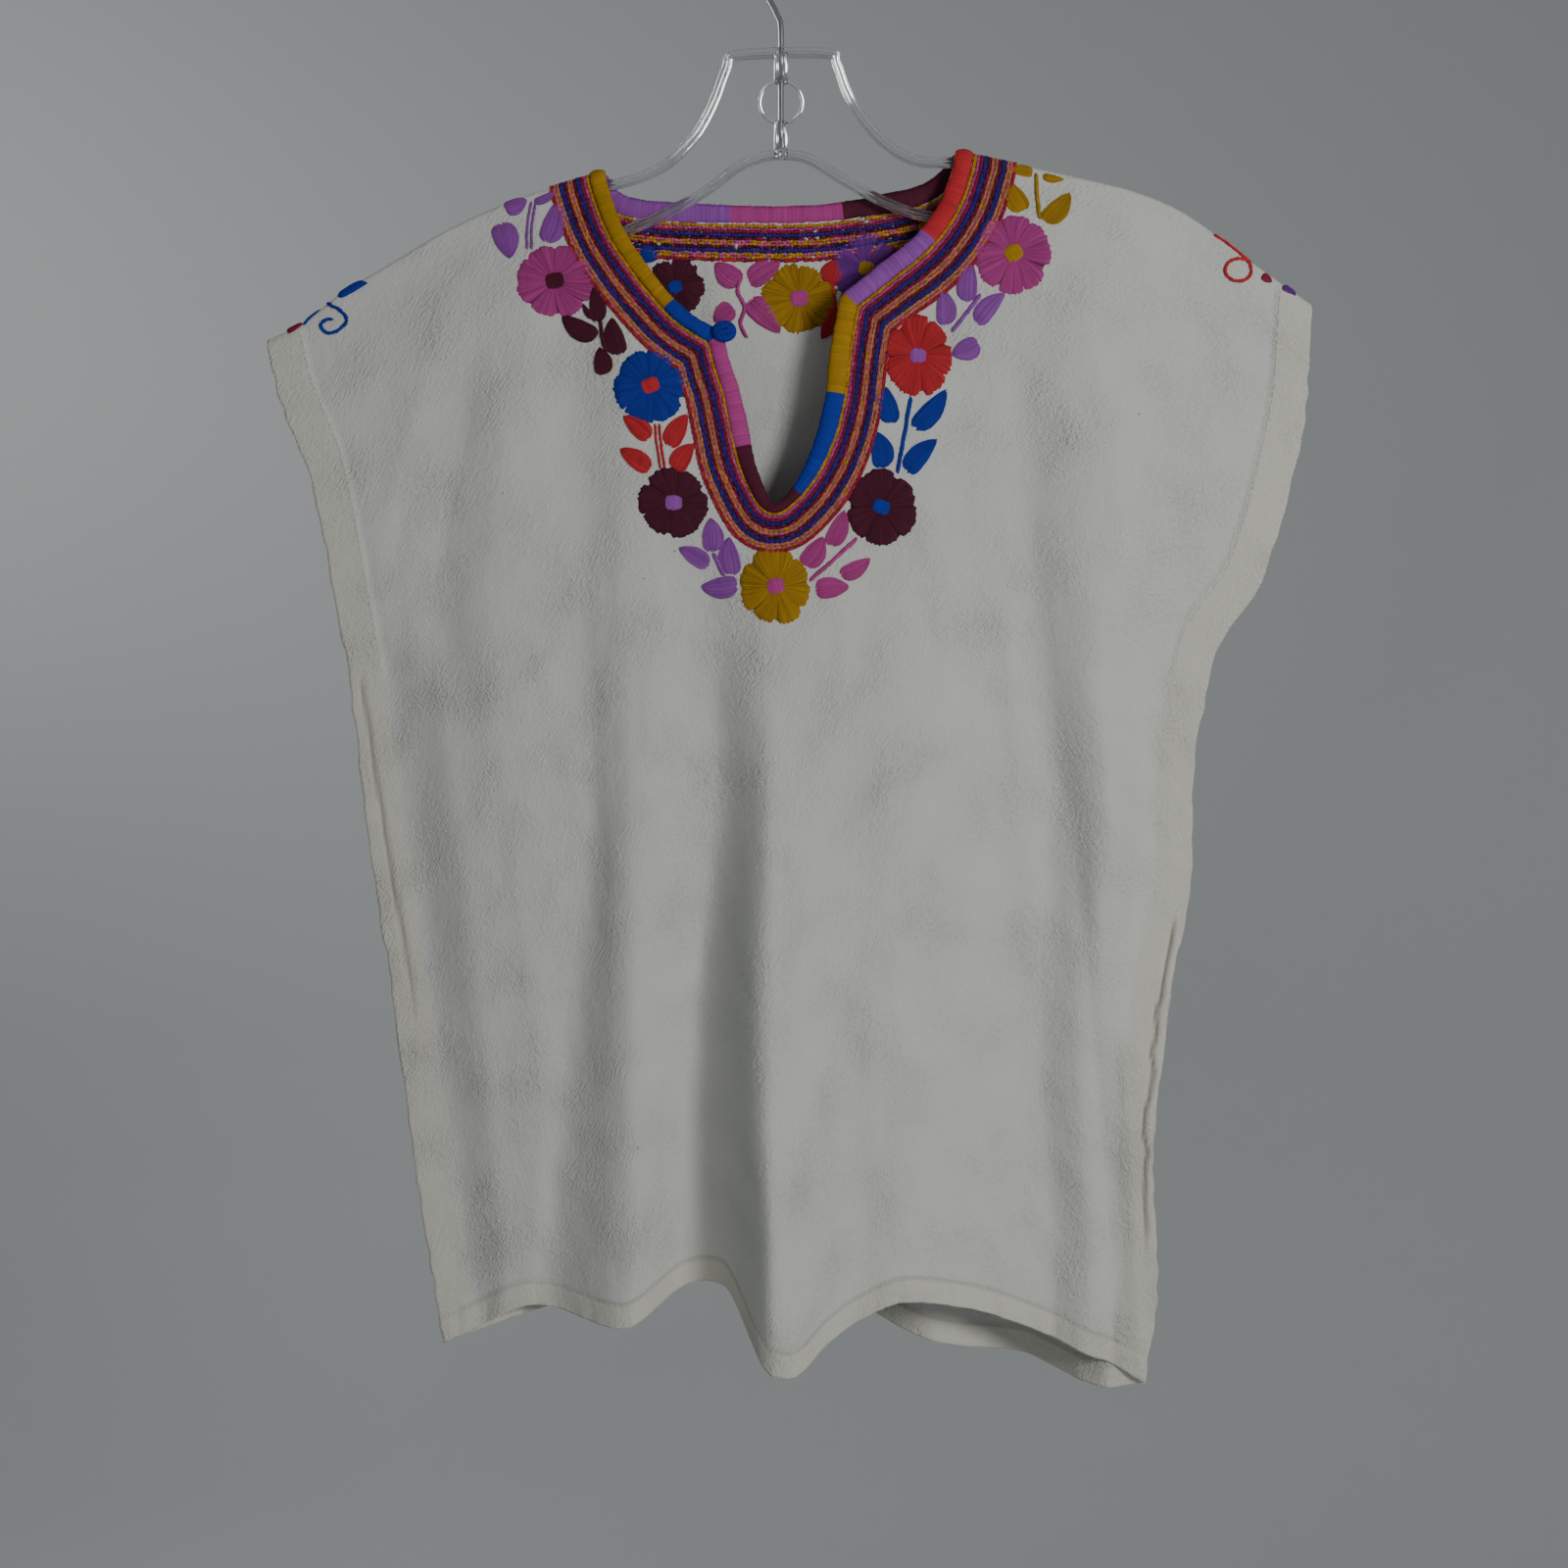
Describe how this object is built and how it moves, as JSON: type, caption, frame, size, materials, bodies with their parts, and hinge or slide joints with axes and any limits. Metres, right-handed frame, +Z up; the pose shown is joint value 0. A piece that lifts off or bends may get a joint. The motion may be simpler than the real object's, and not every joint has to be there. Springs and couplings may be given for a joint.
{
  "type": "huipil blouse on a hanger",
  "caption": "Straight-cut cotton blouse with a slit neck, braided neck band and embroidered flowers, hung on a clear plastic hanger with a wire hook.",
  "frame": {"origin": "the inner top of the hook, where it rests on a rail", "axes": "+Z up along the hanging length, +X to the right as seen from the front, the front faces -Y"},
  "size_m": [0.5836, 0.1178, 0.829],
  "materials": {
    "cotton": "undyed crinkled cotton",
    "braid_thread": "rows of braid and chain stitch in many colours",
    "binding_thread": "close buttonhole stitch in lengths of colour",
    "button_thread": "blue thread wound close",
    "embroidery_thread": "satin stitch",
    "clear_plastic": "clear",
    "steel_wire": "bright wire"
  },
  "bodies": {
    "root": {"front": "cotton", "back": "cotton", "neck_braid_front": "braid_thread", "neck_braid_back": "braid_thread", "neck_binding_front": "binding_thread", "neck_binding_back": "binding_thread", "neck_button": "button_thread", "hanger_frame": "clear_plastic", "hanger_hook": "steel_wire"}
  },
  "joints": []
}
